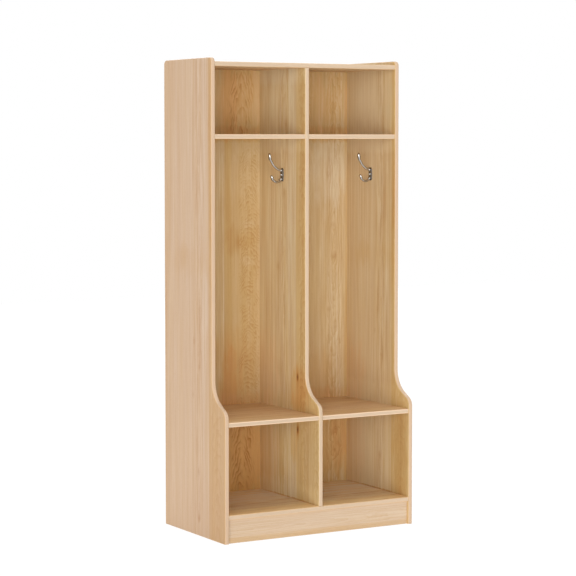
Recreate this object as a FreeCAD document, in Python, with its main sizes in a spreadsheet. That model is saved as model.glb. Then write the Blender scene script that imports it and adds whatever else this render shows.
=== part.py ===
"""Mudroom locker unit: two open bays of 12 mm light wood boards, each with a cubby,
a coat space with one double hook, a seat and a lower cubby.

Frame: +Z up, the open front faces -Y, X to the right of someone facing it.
The origin is on the floor, under the middle of the unit.
"""
import FreeCAD, Part
import Sketcher
import math
import os
import re

doc = FreeCAD.newDocument("mudroom_locker")

# ---------------------------------------------------------------- driving dimensions, mm
DIMENSIONS = [
    ("width", 562, "outside of one side panel to the outside of the other"),
    ("depth", 331, "rear edge of the sides to their lower front edge"),
    ("height", 1219, "floor to the top of the sides"),
    ("board", 12, "thickness of every solid board"),
    ("upper_depth", 261, "depth of the sides above the curve"),
    ("top_drop", 10, "how far the sides stand above the top board"),
    ("upper_shelf_top", 1027, "floor to the top face of the upper shelf"),
    ("seat_top", 306, "floor to the top face of the seat"),
    ("base_top", 72, "floor to the top face of the bottom shelf"),
    ("edge_round", 3, "radius of the eased front, top and rear arrises"),
    ("corner_round", 12, "radius of the two top corners of a side"),
    ("curve_foot", 313, "floor to where the lower front edge starts to curve"),
    ("nose_radius", 25, "radius of the outward turn of the curve"),
    ("hollow_radius", 65, "radius of the inward turn of the curve"),
    ("curve_turn", 61, "slope of the curve from upright, degrees"),
    ("divider_setback", 1, "divider's front edge behind the sides' front edges"),
    ("shelf_setback", 2, "front edges of top board, upper shelf and seat behind the sides"),
    ("base_setback", 1, "bottom shelf's front edge behind the sides' front edges"),
    ("kick_setback", 8, "kick board behind the sides' front edges"),
    ("back_thickness", 6, "thickness of the back panel"),
    ("groove_depth", 5, "depth of the grooves that hold the back panel"),
    ("groove_play", 0.05, "room on each face of the back panel in its groove"),
    ("panel_play", 0.5, "room between the back panel's rim and the groove's floor"),
    ("lap_play", 0.1, "room on each face of a board in its half-lap slot"),
    ("rail_height", 70, "height of the wall rail behind the back panel"),
    ("dowel_diameter", 6, "fluted beech dowel, nominal size"),
    ("dowel_length", 24, "length of a dowel"),
    ("dowel_in_face", 8, "length of a dowel in the face of a board"),
    ("dowel_play", 0.05, "radial room around a dowel"),
    ("dowel_end_play", 0.5, "room past each end of a dowel"),
    ("dowel_end_chamfer", 1, "chamfer on the ends of a dowel"),
    ("dowel_inset", 30, "first and last dowel from the edge of a board"),
    ("rail_dowel_inset", 15, "dowel from the edge of a rail or kick board"),
    ("screw_diameter", 3.5, "shank of a back panel screw"),
    ("screw_length", 25, "length of a back panel screw"),
    ("screw_head_diameter", 7, "countersunk head of a back panel screw"),
    ("screw_point", 4, "length of a screw's point"),
    ("screw_play", 0.05, "radial room around a screw"),
    ("screw_recess", 1.2, "depth of the cross recess in a screw head"),
    ("screw_slot_length", 3.6, "length of each slot of the cross recess"),
    ("screw_slot_width", 0.9, "width of each slot of the cross recess"),
    ("screw_column_foot", 180, "floor to the lowest screw into the divider"),
    ("screw_column_step", 232.5, "spacing of the screws into the divider"),
    ("screw_row_inset", 68, "end screw of a shelf's row from the side panel"),
    ("hook_height", 921, "floor to the middle of a hook's plate"),
    ("hook_from_middle", 23.5, "hook behind the middle of the unit's depth"),
    ("plate_width", 14, "hook plate across"),
    ("plate_length", 35, "hook plate along"),
    ("plate_thickness", 2.5, "hook plate"),
    ("plate_round", 1, "radius around the plate's front rim"),
    ("root_spread", 11.4, "root of each arm above and below the plate's middle"),
    ("root_radius", 3.9, "round boss at the root of an arm"),
    ("root_reach", 4, "middle of a root boss from the wall"),
    ("arm_radius", 3, "half the thickness of an arm"),
    ("tip_radius", 4.3, "half the thickness of an arm's rounded tip"),
    ("upper_tip_half_length", 11.5, "half the length of the upper arm's tip"),
    ("lower_tip_half_length", 8.5, "half the length of the lower arm's tip"),
    ("tip_overhang", 7.5, "a tip's own end beyond the end of its arm's middle line"),
    ("hook_screw_diameter", 4, "shank of a hook screw"),
    ("hook_screw_length", 12, "length of a hook screw's shank"),
    ("hook_screw_head", 7.6, "diameter of a hook screw's domed head"),
    ("hook_screw_dome", 2.8, "height of a hook screw's domed head"),
    ("hook_screw_point", 3, "length of a hook screw's point"),
]

sheet = doc.addObject("Spreadsheet::Sheet", "Dims")
for row, (name, value, meaning) in enumerate(DIMENSIONS, start=1):
    sheet.set(f"A{row}", meaning)
    sheet.set(f"B{row}", str(value))
    sheet.setAlias(f"B{row}", name)
doc.recompute()

# Places worked out from the driving dimensions; other places are built from these words too.
INNER = "(width / 2 - board)"
FRONT = "(-depth / 2)"
UPPER_FRONT = "(depth / 2 - upper_depth)"
REAR = "(depth / 2 - edge_round)"
BACK_FACE = f"({REAR} - board - back_thickness)"
RAIL_FACE = f"({REAR} - board)"
RAIL_MIDDLE = f"({REAR} - board / 2)"
KICK_REAR = f"({FRONT} + kick_setback + board)"
KICK_MIDDLE = f"({FRONT} + kick_setback + board / 2)"
TOP_UNDERSIDE = "(height - top_drop - board)"
BASE_UNDERSIDE = "(base_top - board)"


def bound(text):
    """An expression on the sheet, from words that are its aliases."""
    return re.sub(r"[a-z_]+", lambda word: "Dims." + word.group(), str(text))


def size(text):
    """The present value of such an expression, in mm."""
    return float(sheet.evalExpression(bound(text)))


# ---------------------------------------------------------------- sketch and feature helpers
Z_AXIS = FreeCAD.Vector(0, 0, 1)
UNIT = {"X": FreeCAD.Vector(1, 0, 0), "Y": FreeCAD.Vector(0, 1, 0), "Z": Z_AXIS}
PLANES = {"X": "YZ_Plane", "Y": "XZ_Plane", "Z": "XY_Plane"}
ALONG = {"Xy": "H_Axis", "Xz": "V_Axis", "Yx": "H_Axis", "Yz": "V_Axis",
         "Zx": "H_Axis", "Zy": "V_Axis"}


def new_body(label):
    body = doc.addObject("PartDesign::Body", label)
    body.Label = label
    return body


def new_sketch(body, facing, at):
    """A sketch square to the axis `facing`, with its origin at the point `at`."""
    sketch = body.newObject("Sketcher::SketchObject", body.Name + "_sketch")
    plane = [p for p in body.Origin.OriginFeatures if p.Role == PLANES[facing]]
    sketch.AttachmentSupport = [(plane[0], "")]
    sketch.MapMode = "FlatFace"
    east, north, up = at
    offset = {"X": (north, up, east), "Y": (east, up, f"-({north})"), "Z": (east, north, up)}
    for axis, text in zip("xyz", offset[facing]):
        sketch.setExpression(f"AttachmentOffset.Base.{axis}", bound(text))
    return sketch


def constrain(sketch, kind, *where, by=None):
    """Add a constraint; `by` binds its value to the sheet."""
    if by is None:
        return sketch.addConstraint(Sketcher.Constraint(kind, *where))
    number = sketch.addConstraint(Sketcher.Constraint(kind, *where, size(by)))
    sketch.setExpression(f"Constraints[{number}]", bound(by))
    return number


def add_rectangle(sketch, across, along):
    """A rectangle from the sketch's origin into its first quadrant."""
    a, b = size(across), size(along)
    corners = [(0, 0), (a, 0), (a, b), (0, b)]
    for start, end in zip(corners, corners[1:] + corners[:1]):
        sketch.addGeometry(Part.LineSegment(FreeCAD.Vector(*start, 0), FreeCAD.Vector(*end, 0)))
    for line in range(4):
        constrain(sketch, "Coincident", line, 2, (line + 1) % 4, 1)
        constrain(sketch, "Vertical" if line % 2 else "Horizontal", line)
    constrain(sketch, "Coincident", 0, 1, -1, 1)
    constrain(sketch, "DistanceX", 0, 1, 0, 2, by=across)
    constrain(sketch, "DistanceY", 1, 1, 1, 2, by=along)


def add_circle(sketch, diameter):
    circle = Part.Circle(FreeCAD.Vector(0, 0, 0), Z_AXIS, size(diameter) / 2)
    sketch.addGeometry(circle)
    constrain(sketch, "Coincident", 0, 3, -1, 1)
    constrain(sketch, "Diameter", 0, by=diameter)


def pad(body, sketch, length):
    feature = body.newObject("PartDesign::Pad", body.Name + "_pad")
    feature.Profile = sketch
    feature.setExpression("Length", bound(length))
    doc.recompute()
    return feature


def cut_volume(body, make_cut, expected):
    """Run a cut and stop if it takes away something other than `expected` mm3."""
    before = body.Shape.Volume
    make_cut()
    doc.recompute()
    taken = before - body.Shape.Volume
    if abs(taken - expected) > 0.02 * expected:
        raise RuntimeError(f"{body.Label}: cut took {taken:.1f}, expected {expected:.1f} mm3")


def cut_rectangle(body, facing, at, across, along, depth, backward=False):
    """A pocket from a face; `backward` cuts towards the sketch's normal."""
    def make():
        sketch = new_sketch(body, facing, at)
        add_rectangle(sketch, across, along)
        pocket = body.newObject("PartDesign::Pocket", body.Name + "_pocket")
        pocket.Profile = sketch
        pocket.setExpression("Length", bound(depth))
        pocket.Reversed = backward
    cut_volume(body, make, size(across) * size(along) * size(depth))


def round_edges(body, radius, chosen):
    """Round the edges of the body's last feature that `chosen` accepts."""
    base = body.Tip
    names = [f"Edge{n}" for n, edge in enumerate(base.Shape.Edges, start=1) if chosen(edge)]
    fillet = body.newObject("PartDesign::Fillet", body.Name + "_rounding")
    fillet.Base = (base, names)
    fillet.setExpression("Radius", bound(radius))
    doc.recompute()


def lies_at(edge, **place):
    """True if the whole edge keeps the given x, y or z."""
    box = edge.BoundBox
    ends = {"x": (box.XMin, box.XMax), "y": (box.YMin, box.YMax), "z": (box.ZMin, box.ZMax)}
    return all(abs(end - size(text)) < 0.01 for axis, text in place.items() for end in ends[axis])


# ---------------------------------------------------------------- rows of dowels and screws
class Row:
    """Equal fixings along a line: their axis, first place, direction, count and spacing."""

    def __init__(self, axis, at, step, count, spacing):
        self.axis = axis
        self.at = at
        self.step = step
        self.count = count
        self.spacing = spacing

    def places(self):
        start = [size(text) for text in self.at]
        step = UNIT[self.step.upper()] * size(self.spacing)
        return [FreeCAD.Vector(*start) + step * number for number in range(self.count)]


def evenly(first, last, count):
    return f"(({last}) - ({first})) / {count - 1}"


def repeat(body, feature, sketch, row):
    if row.count == 1:
        return
    pattern = body.newObject("PartDesign::LinearPattern", body.Name + "_row")
    pattern.Originals = [feature]
    pattern.Direction = (sketch, [ALONG[row.axis + row.step]])
    pattern.setExpression("Length", bound(f"({row.spacing}) * {row.count - 1}"))
    pattern.Occurrences = row.count
    body.Tip = pattern


def drill(body, row, diameter, depth, way):
    """Blind holes for a row, drilled the given way (+1 or -1) along its axis."""
    def make():
        sketch = new_sketch(body, row.axis, row.at)
        add_circle(sketch, diameter)
        pocket = body.newObject("PartDesign::Pocket", body.Name + "_holes")
        pocket.Profile = sketch
        pocket.setExpression("Length", bound(depth))
        pocket.Reversed = (way > 0) != (row.axis == "Y")
        doc.recompute()
        repeat(body, pocket, sketch, row)
    each = math.pi * (size(diameter) / 2) ** 2 * size(depth)
    cut_volume(body, make, each * row.count)


DOWEL_HOLE = "dowel_diameter + 2 * dowel_play"
IN_FACE = "dowel_in_face + dowel_end_play"
IN_END = "dowel_length - dowel_in_face + dowel_end_play"


def dowel_joint(face_board, end_board, row, way):
    """Holes for a row of dowels: shallow in one board's face, deep in the other's end.
    `way` is the direction from the joint into the face board."""
    drill(face_board, row, DOWEL_HOLE, IN_FACE, way)
    drill(end_board, row, DOWEL_HOLE, IN_END, -way)


# ---------------------------------------------------------------- boards
def straight_board(label, facing, at, across, along, thick="board"):
    """A rectangular board; it grows from `at` along the sketch's axes and its normal."""
    body = new_body(label)
    sketch = new_sketch(body, facing, at)
    add_rectangle(sketch, across, along)
    pad(body, sketch, thick)
    return body


def shelf(label, underside, front, rear):
    """A board between the side panels, with its front arrises eased."""
    body = straight_board(label, "Z", (f"-{INNER}", front, underside), f"2 * {INNER}",
                          f"({rear}) - ({front})")
    round_edges(body, "edge_round", lambda edge: lies_at(edge, y=front)
                and edge.BoundBox.XLength > size(INNER))
    return body


def point(across, along):
    return FreeCAD.Vector(across, along, 0)


def add_line(sketch, start, end, level=None):
    """A line; `level` says that it stays Horizontal or Vertical. Returns its number."""
    number = sketch.addGeometry(Part.LineSegment(start, end))
    if level:
        constrain(sketch, level, number)
    return number


def add_arc(sketch, centre, radius, first, last):
    """An arc from `first` to `last`, in radians against the clock. Returns its number."""
    circle = Part.Circle(centre, Z_AXIS, size(radius))
    number = sketch.addGeometry(Part.ArcOfCircle(circle, first, last))
    constrain(sketch, "Radius", number, by=radius)
    return number


def add_curved_profile(sketch, foot, step, top, rear, corner=None):
    """The outline of an upright board, from the sketch's origin at its lower front corner.

    The front edge rises `foot`, turns outwards and back in to a line `step` further back,
    and goes on to `top`. With a `corner` radius the two top corners are rounded.
    """
    turn = math.radians(size("curve_turn"))
    nose, hollow, back = size("nose_radius"), size("hollow_radius"), size(step)
    rise, peak, deep = size(foot), size(top), size(rear)
    bow = corner and size(corner) or 0
    slope = (back - (nose + hollow) * (1 - math.cos(turn))) / math.sin(turn)
    along_slope = point(math.sin(turn), math.cos(turn))
    nose_start = point(0, rise)
    nose_end = nose_start + point(nose * (1 - math.cos(turn)), nose * math.sin(turn))
    slope_end = nose_end + along_slope * slope
    hollow_centre = slope_end + point(-math.cos(turn), math.sin(turn)) * hollow
    hollow_end = hollow_centre + point(hollow, 0)

    lower = add_line(sketch, point(0, 0), nose_start, "Vertical")
    nose_arc = add_arc(sketch, nose_start + point(nose, 0), "nose_radius",
                       math.pi - turn, math.pi)
    ramp = add_line(sketch, nose_end, slope_end)
    hollow_arc = add_arc(sketch, hollow_centre, "hollow_radius", -turn, 0)
    upper = add_line(sketch, hollow_end, point(back, peak - bow), "Vertical")
    ceiling = add_line(sketch, point(back + bow, peak), point(deep - bow, peak), "Horizontal")
    spine = add_line(sketch, point(deep, peak - bow), point(deep, 0), "Vertical")
    floor = add_line(sketch, point(deep, 0), point(0, 0), "Horizontal")
    constrain(sketch, "Coincident", lower, 1, -1, 1)
    constrain(sketch, "Tangent", lower, 2, nose_arc, 2)
    constrain(sketch, "Tangent", nose_arc, 1, ramp, 1)
    constrain(sketch, "Tangent", ramp, 2, hollow_arc, 1)
    constrain(sketch, "Tangent", hollow_arc, 2, upper, 1)
    constrain(sketch, "Coincident", spine, 2, floor, 1)
    constrain(sketch, "Coincident", floor, 2, -1, 1)
    if corner:
        front_arc = add_arc(sketch, point(back + bow, peak - bow), corner, math.pi / 2, math.pi)
        rear_arc = add_arc(sketch, point(deep - bow, peak - bow), corner, 0, math.pi / 2)
        constrain(sketch, "Tangent", upper, 2, front_arc, 2)
        constrain(sketch, "Tangent", front_arc, 1, ceiling, 1)
        constrain(sketch, "Tangent", ceiling, 2, rear_arc, 2)
        constrain(sketch, "Tangent", rear_arc, 1, spine, 1)
    else:
        constrain(sketch, "Coincident", upper, 2, ceiling, 1)
        constrain(sketch, "Coincident", ceiling, 2, spine, 1)
    constrain(sketch, "DistanceY", -1, 1, lower, 2, by=foot)
    constrain(sketch, "DistanceX", -1, 1, upper, 1, by=step)
    constrain(sketch, "DistanceY", -1, 1, ceiling, 1, by=top)
    constrain(sketch, "DistanceX", -1, 1, spine, 2, by=rear)
    constrain(sketch, "Angle", ramp, by="90 - curve_turn")


def upright(label, face, corner_point, foot, step, top, rear, corner=None):
    """An upright board whose lower face in X is at `face`."""
    body = new_body(label)
    sketch = new_sketch(body, "X", (face, *corner_point))
    add_curved_profile(sketch, foot, step, top, rear, corner)
    pad(body, sketch, "board")
    return body


# ---------------------------------------------------------------- the boards
SIDES = {"left_side": "-width / 2", "right_side": "width / 2 - board"}
sides = {}
for label, face in SIDES.items():
    side = upright(label, face, (FRONT, "0"), "curve_foot", "depth - upper_depth",
                   "height", "depth", "corner_round")
    round_edges(side, "edge_round", lambda edge: lies_at(edge, y=FRONT)
                and edge.BoundBox.ZLength > size("curve_foot") / 2)
    sides[label] = side

divider = upright("divider", "-board / 2", (f"{FRONT} + divider_setback", "base_top"),
                  "curve_foot - base_top", "depth - upper_depth",
                  f"{TOP_UNDERSIDE} - base_top", f"{BACK_FACE} - {FRONT} - divider_setback")
round_edges(divider, "edge_round", lambda edge: lies_at(edge, y=f"{FRONT} + divider_setback")
            and edge.BoundBox.ZLength > size("curve_foot - base_top") / 2)

UPPER_EDGE = f"({UPPER_FRONT} + shelf_setback)"
SEAT_EDGE = f"({FRONT} + shelf_setback)"
BASE_EDGE = f"({FRONT} + base_setback)"
top_board = shelf("top_board", TOP_UNDERSIDE, UPPER_EDGE, REAR)
upper_shelf = shelf("upper_shelf", "upper_shelf_top - board", UPPER_EDGE, BACK_FACE)
seat = shelf("seat", "seat_top - board", SEAT_EDGE, BACK_FACE)
bottom_shelf = shelf("bottom_shelf", BASE_UNDERSIDE, BASE_EDGE, REAR)

LEFT_END = f"-{INNER}"
SPAN = f"2 * {INNER}"
kick_board = straight_board("kick_board", "Y", (LEFT_END, KICK_REAR, "0"), SPAN, BASE_UNDERSIDE)
rear_base_rail = straight_board("rear_base_rail", "Y", (LEFT_END, REAR, "0"), SPAN,
                                BASE_UNDERSIDE)
wall_rail = straight_board("wall_rail", "Y", (LEFT_END, REAR, f"{TOP_UNDERSIDE} - rail_height"),
                           SPAN, "rail_height")
base_stretcher = straight_board("base_stretcher", "X", ("-board / 2", KICK_REAR, "0"),
                                f"{RAIL_FACE} - {KICK_REAR}", BASE_UNDERSIDE)
RIM = "(groove_depth - panel_play)"
back_panel = straight_board(
    "back_panel", "Y", (f"{LEFT_END} - {RIM}", RAIL_FACE, f"base_top - {RIM}"),
    f"{SPAN} + 2 * {RIM}", f"{TOP_UNDERSIDE} - base_top + 2 * {RIM}", "back_thickness")

# ---------------------------------------------------------------- half-laps and grooves
LAP_HEIGHT = "board + 2 * lap_play"
LAPPED = ((upper_shelf, UPPER_EDGE, "upper_shelf_top"), (seat, SEAT_EDGE, "seat_top"))
for board, edge, top in LAPPED:
    lap_end = f"(({edge}) + {BACK_FACE}) / 2"
    lap_length = f"({lap_end} - ({edge}))"
    cut_rectangle(board, "Z", ("-board / 2 - lap_play", edge, top), LAP_HEIGHT, lap_length,
                  "board")
    cut_rectangle(divider, "X", ("board / 2", lap_end, f"{top} - board - lap_play"),
                  f"{BACK_FACE} - {lap_end}", LAP_HEIGHT, "board")

GROOVE_FRONT = f"({BACK_FACE} - groove_play)"
GROOVE_WIDTH = "back_thickness + 2 * groove_play"
GROOVE_HEIGHT = f"{TOP_UNDERSIDE} - base_top + 2 * groove_depth"
for label, inner_face in (("left_side", LEFT_END), ("right_side", INNER)):
    cut_rectangle(sides[label], "X", (inner_face, GROOVE_FRONT, "base_top - groove_depth"),
                  GROOVE_WIDTH, GROOVE_HEIGHT, "groove_depth", backward=label == "right_side")
cut_rectangle(top_board, "Z", (LEFT_END, GROOVE_FRONT, TOP_UNDERSIDE), SPAN, GROOVE_WIDTH,
              "groove_depth", backward=True)
cut_rectangle(bottom_shelf, "Z", (LEFT_END, GROOVE_FRONT, "base_top"), SPAN, GROOVE_WIDTH,
              "groove_depth")

# ---------------------------------------------------------------- dowelled joints
LAST_DOWEL = f"({BACK_FACE} - dowel_inset)"
ACROSS_ENDS = [
    # board, its front edge, its middle height, dowels at each end
    (top_board, UPPER_EDGE, f"{TOP_UNDERSIDE} + board / 2", 3),
    (upper_shelf, UPPER_EDGE, "upper_shelf_top - board / 2", 3),
    (seat, SEAT_EDGE, "seat_top - board / 2", 4),
    (bottom_shelf, BASE_EDGE, "base_top - board / 2", 4),
]
ENDS = (("left_side", LEFT_END, -1), ("right_side", INNER, 1))
dowels = {}


def joint(name, face_board, end_board, row, way):
    """Drill both boards for a row of dowels and remember where the dowels go."""
    dowel_joint(face_board, end_board, row, way)
    dowels.setdefault(name, []).append((row, way))


for board, edge, middle, count in ACROSS_ENDS:
    first = f"{edge} + dowel_inset"
    for label, end, way in ENDS:
        row = Row("X", (end, first, middle), "y", count, evenly(first, LAST_DOWEL, count))
        joint(board.Label + "_dowels", sides[label], board, row, way)

RAILS = [
    # board, its middle in depth, its foot, its height
    (kick_board, KICK_MIDDLE, "0", BASE_UNDERSIDE),
    (rear_base_rail, RAIL_MIDDLE, "0", BASE_UNDERSIDE),
    (wall_rail, RAIL_MIDDLE, f"{TOP_UNDERSIDE} - rail_height", "rail_height"),
]
for board, middle, foot, tall in RAILS:
    lowest = f"{foot} + rail_dowel_inset"
    for label, end, way in ENDS:
        row = Row("X", (end, middle, lowest), "z", 2, f"{tall} - 2 * rail_dowel_inset")
        joint(board.Label + "_dowels", sides[label], board, row, way)

for board, face, way in ((kick_board, KICK_REAR, -1), (rear_base_rail, RAIL_FACE, 1)):
    row = Row("Y", ("0", face, "rail_dowel_inset"), "z", 2,
              f"{BASE_UNDERSIDE} - 2 * rail_dowel_inset")
    joint("base_stretcher_dowels", board, base_stretcher, row, way)

DIVIDER_ENDS = [
    (top_board, TOP_UNDERSIDE, f"{UPPER_FRONT} + divider_setback + dowel_inset", 3, 1),
    (bottom_shelf, "base_top", f"{FRONT} + divider_setback + dowel_inset", 4, -1),
]
for board, face, first, count, way in DIVIDER_ENDS:
    row = Row("Z", ("0", first, face), "y", count, evenly(first, LAST_DOWEL, count))
    joint("divider_dowels", board, divider, row, way)


def revolve(label, outline):
    """A body turned about Z from an outline of (radius, height) pairs."""
    body = new_body(label)
    sketch = new_sketch(body, "Y", ("0", "0", "0"))
    corners = [point(size(across), size(along)) for across, along in outline]
    lines = [add_line(sketch, start, end)
             for start, end in zip(corners, corners[1:] + corners[:1])]
    for line, following in zip(lines, lines[1:] + lines[:1]):
        constrain(sketch, "Coincident", line, 2, following, 1)
    for line, (across, along) in zip(lines, outline):
        for kind, text in (("DistanceX", across), ("DistanceY", along)):
            constrain(sketch, kind, -1, 1, line, 1, by=text)
    feature = body.newObject("PartDesign::Revolution", body.Name + "_turned")
    feature.Profile = sketch
    feature.ReferenceAxis = (sketch, ["V_Axis"])
    feature.Angle = 360
    doc.recompute()
    return body


def group(label, template, placements):
    """One sub-part made of equal, separate solids."""
    links = []
    for placement in placements:
        link = doc.addObject("App::Link", label + "_one")
        link.LinkedObject = template
        link.Placement = placement
        links.append(link)
    compound = doc.addObject("Part::Compound", label)
    compound.Label = label
    compound.Links = links
    return compound


TURN_TO = {"X": FreeCAD.Rotation(FreeCAD.Vector(0, 1, 0), 90),
           "Y": FreeCAD.Rotation(FreeCAD.Vector(1, 0, 0), -90),
           "Z": FreeCAD.Rotation()}
DOWEL_RADIUS = "dowel_diameter / 2"
DOWEL_TIP = "dowel_diameter / 2 - dowel_end_chamfer"
dowel = revolve("dowel_template", [
    ("0", "0"), (DOWEL_TIP, "0"), (DOWEL_RADIUS, "dowel_end_chamfer"),
    (DOWEL_RADIUS, "dowel_length - dowel_end_chamfer"), (DOWEL_TIP, "dowel_length"),
    ("0", "dowel_length")])
sub_parts = list(sides.values()) + [
    divider, top_board, upper_shelf, seat, bottom_shelf, kick_board, rear_base_rail, wall_rail,
    base_stretcher, back_panel]
for label, rows in dowels.items():
    placements = []
    for row, way in rows:
        start_back = size("dowel_length - dowel_in_face" if way > 0 else "dowel_in_face")
        placements += [FreeCAD.Placement(place - UNIT[row.axis] * start_back, TURN_TO[row.axis])
                       for place in row.places()]
    sub_parts.append(group(label, dowel, placements))

# ---------------------------------------------------------------- back panel screws
# Driven from behind, through the back panel into the rear edges of shelf, seat and divider.


def cut_cross(body, height):
    """A cross recess for a driver, in the top of a head at the given height."""
    for across, along in (("screw_slot_length", "screw_slot_width"),
                          ("screw_slot_width", "screw_slot_length")):
        sketch = new_sketch(body, "Z", (f"-({across}) / 2", f"-({along}) / 2", height))
        add_rectangle(sketch, across, along)
        recess = body.newObject("PartDesign::Pocket", body.Name + "_recess")
        recess.Profile = sketch
        recess.setExpression("Length", bound("screw_recess"))
        doc.recompute()


HEAD_RADIUS = "screw_head_diameter / 2"
SHANK_RADIUS = "screw_diameter / 2"
HEAD_HEIGHT = "(screw_head_diameter - screw_diameter) / 2"
screw = revolve("screw_template", [
    ("0", "0"), ("0", "-screw_length"), (SHANK_RADIUS, "-screw_length + screw_point"),
    (SHANK_RADIUS, f"-{HEAD_HEIGHT}"), (HEAD_RADIUS, "0")])
cut_cross(screw, "0")

FIRST_SCREW = f"({LEFT_END} + screw_row_inset)"
SCREW_STEP = f"(2 * ({INNER} - screw_row_inset)) / 3"
SCREW_ROWS = [
    (upper_shelf, Row("Y", (FIRST_SCREW, RAIL_FACE, "upper_shelf_top - board / 2"), "x", 4,
                      SCREW_STEP)),
    (seat, Row("Y", (FIRST_SCREW, RAIL_FACE, "seat_top - board / 2"), "x", 4, SCREW_STEP)),
    (divider, Row("Y", ("0", RAIL_FACE, "screw_column_foot"), "z", 5, "screw_column_step")),
]
PILOT = "screw_diameter + 2 * screw_play"


def countersink(body, row):
    """Clearance holes with a countersink for a row of screws through the back panel."""
    def make():
        sketch = new_sketch(body, row.axis, row.at)
        add_circle(sketch, PILOT)
        hole = body.newObject("PartDesign::Hole", body.Name + "_holes")
        hole.Profile = sketch
        doc.recompute()
        hole.setExpression("Diameter", bound(PILOT))
        hole.DepthType = "ThroughAll"
        hole.HoleCutType = "Countersink"
        hole.HoleCutCustomValues = True
        hole.setExpression("HoleCutDiameter", bound("screw_head_diameter + 2 * screw_play"))
        hole.HoleCutCountersinkAngle = 90
        hole.Reversed = True
        doc.recompute()
        repeat(body, hole, sketch, row)
    wide, narrow = size(f"{HEAD_RADIUS} + screw_play"), size(f"({PILOT}) / 2")
    cone = math.pi * (wide - narrow) * (wide ** 2 + wide * narrow + narrow ** 2) / 3
    straight = math.pi * narrow ** 2 * (size("back_thickness") - (wide - narrow))
    cut_volume(body, make, (cone + straight) * row.count)


screw_places = []
for board, row in SCREW_ROWS:
    countersink(back_panel, row)
    pilot = Row("Y", (row.at[0], BACK_FACE, row.at[2]), row.step, row.count, row.spacing)
    drill(board, pilot, PILOT, "screw_length - back_thickness + dowel_end_play", -1)
    screw_places += [FreeCAD.Placement(place, TURN_TO["Y"]) for place in row.places()]
sub_parts.append(group("back_panel_screws", screw, screw_places))

# ---------------------------------------------------------------- hooks
# Built on the wall plane at the origin, standing out towards -X: (reach, height) pairs.
UPPER_ARM = [(4, 11.4), (10.5, 13.2), (17.5, 17.2), (25.5, 24), (31, 31.5), (35.5, 41), (37.8, 50)]
LOWER_ARM = [(4, -11.4), (9.5, -17.3), (17.5, -19.3), (25.5, -15.2), (30.8, -8)]


def lift(flat):
    """A point of a sketch square to Y, as a point in space."""
    return FreeCAD.Vector(flat.x, 0, flat.y)


def add_arm(body, route, tip_half_length):
    """A round arm along a smooth route, with a swollen, rounded tip on its end."""
    path = new_sketch(body, "Y", ("0", "0", "0"))
    curve = Part.BSplineCurve()
    curve.interpolate([point(-reach, rise) for reach, rise in route])
    path.addGeometry(curve)
    start, heading = curve.value(curve.FirstParameter), curve.tangent(curve.FirstParameter)[0]
    section = body.newObject("Sketcher::SketchObject", "arm_section")
    add_circle(section, "2 * arm_radius")
    section.Placement = FreeCAD.Placement(lift(start), FreeCAD.Rotation(Z_AXIS, lift(heading)))
    arm = body.newObject("PartDesign::AdditivePipe", "arm")
    arm.Profile = section
    arm.Spine = (path, ["Edge1"])
    doc.recompute()
    end, way = curve.value(curve.LastParameter), curve.tangent(curve.LastParameter)[0]
    tip = body.newObject("PartDesign::AdditiveEllipsoid", "arm_tip")
    tip.setExpression("Radius1", bound(tip_half_length))
    tip.setExpression("Radius2", bound("tip_radius"))
    tip.setExpression("Radius3", bound("tip_radius"))
    middle = lift(end) + lift(way) * (size("tip_overhang") - size(tip_half_length))
    tip.Placement = FreeCAD.Placement(middle, FreeCAD.Rotation(Z_AXIS, lift(way)))
    doc.recompute()


def coat_hook(label, wall):
    """A cast double hook: a rounded plate, a boss at the root of each arm, two arms."""
    body = new_body(label)
    sketch = new_sketch(body, "X", ("-plate_thickness", "-plate_width / 2", "-plate_length / 2"))
    add_rectangle(sketch, "plate_width", "plate_length")
    pad(body, sketch, "plate_thickness")
    round_edges(body, "plate_width / 2 - 0.2", lambda edge: edge.BoundBox.XLength > 1)
    round_edges(body, "plate_round", lambda edge: lies_at(edge, x="-plate_thickness"))
    for rise in ("root_spread", "-root_spread"):
        boss = body.newObject("PartDesign::AdditiveSphere", "arm_root")
        boss.setExpression("Radius", bound("root_radius"))
        boss.Placement = FreeCAD.Placement(
            FreeCAD.Vector(-size("root_reach"), 0, size(rise)), FreeCAD.Rotation())
        doc.recompute()
    add_arm(body, UPPER_ARM, "upper_tip_half_length")
    add_arm(body, LOWER_ARM, "lower_tip_half_length")
    body.Placement = FreeCAD.Placement(
        FreeCAD.Vector(size(wall), size("hook_from_middle"), size("hook_height")),
        FreeCAD.Rotation())
    return body


HOOK_HOLE = "hook_screw_diameter + 2 * screw_play"
HOOK_SHANK = "hook_screw_diameter / 2"
DOME_RADIUS = "hook_screw_head / 2"
hook_screw = revolve("hook_screw_template", [
    ("0", "-hook_screw_length"), (HOOK_SHANK, "-hook_screw_length + hook_screw_point"),
    (HOOK_SHANK, "0"), (DOME_RADIUS, "0"), (DOME_RADIUS, "hook_screw_dome"),
    ("0", "hook_screw_dome")])
round_edges(hook_screw, "hook_screw_dome - 0.2", lambda edge: lies_at(edge, z="hook_screw_dome"))
cut_cross(hook_screw, "hook_screw_dome")
HEAD_TOWARDS_BAY = FreeCAD.Rotation(FreeCAD.Vector(0, 1, 0), -90)
HUNG_ON = (("left", divider, "-board / 2"), ("right", sides["right_side"], INNER))

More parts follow.
